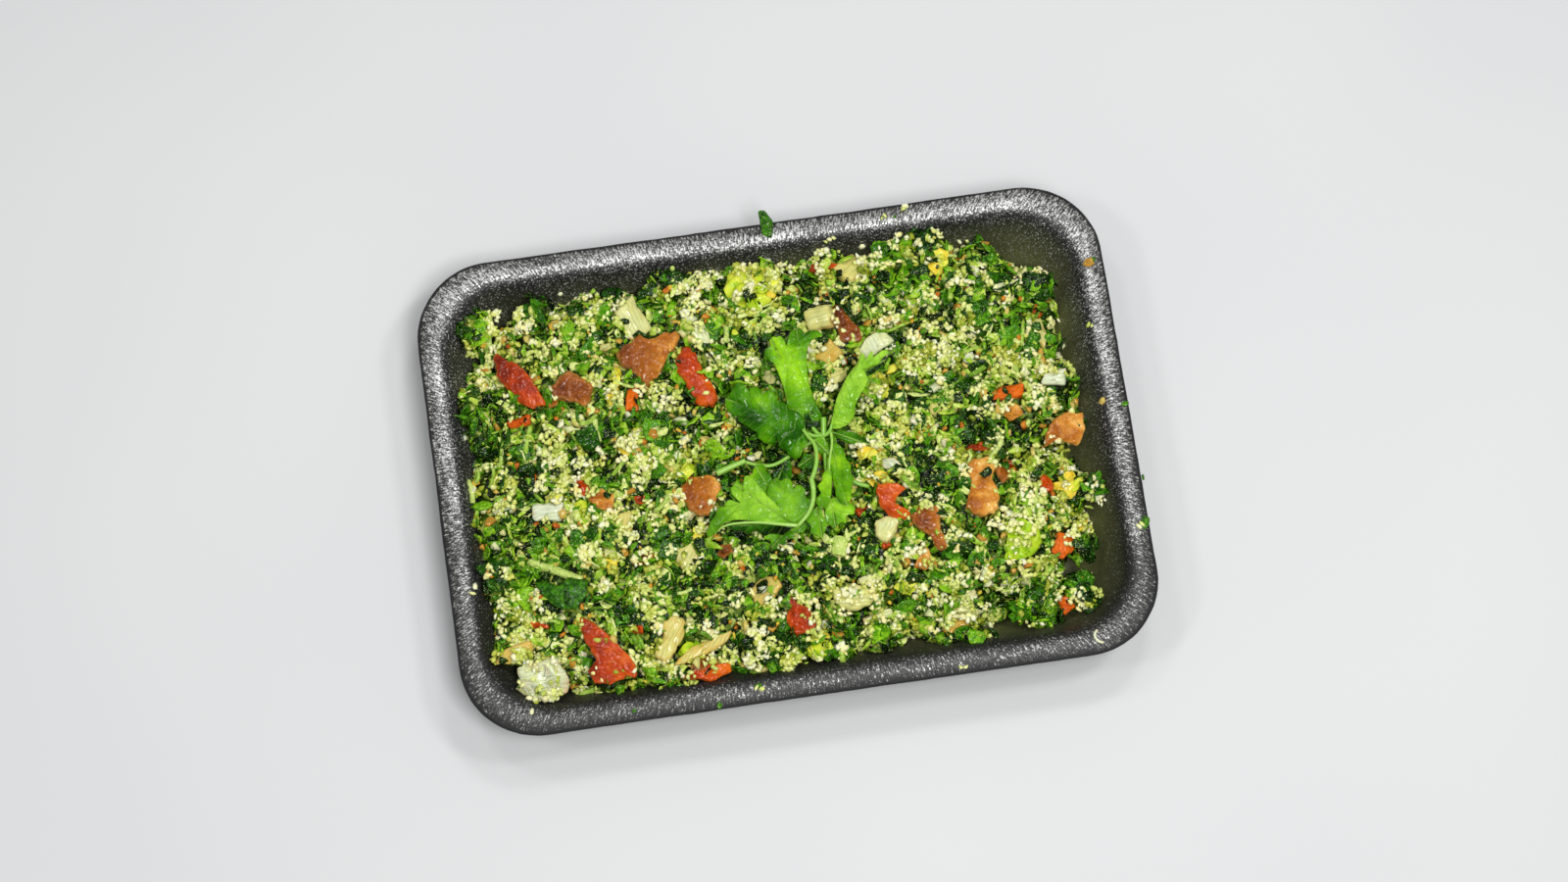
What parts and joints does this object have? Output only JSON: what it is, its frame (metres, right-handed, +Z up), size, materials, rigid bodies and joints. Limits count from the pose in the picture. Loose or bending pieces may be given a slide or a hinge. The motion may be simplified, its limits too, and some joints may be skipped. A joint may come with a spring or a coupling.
{
  "type": "tabbouleh salad in a foam tray",
  "caption": "Chopped herb and bulgur salad heaped in a rectangular moulded foam tray with rounded corners, a parsley sprig on top.",
  "frame": {"origin": "middle of the tray's flat underside", "axes": "+X along the tray's long side, +Y across it, +Z up out of the tray"},
  "size_m": [0.21, 0.147, 0.0383],
  "materials": {
    "tray": "moulded expanded foam, speckled",
    "salad": "moist, finely chopped",
    "parsley": "waxy leaf"
  },
  "bodies": {
    "root": {"tray": "tray", "salad": "salad", "parsley_sprig": "parsley"}
  },
  "joints": []
}
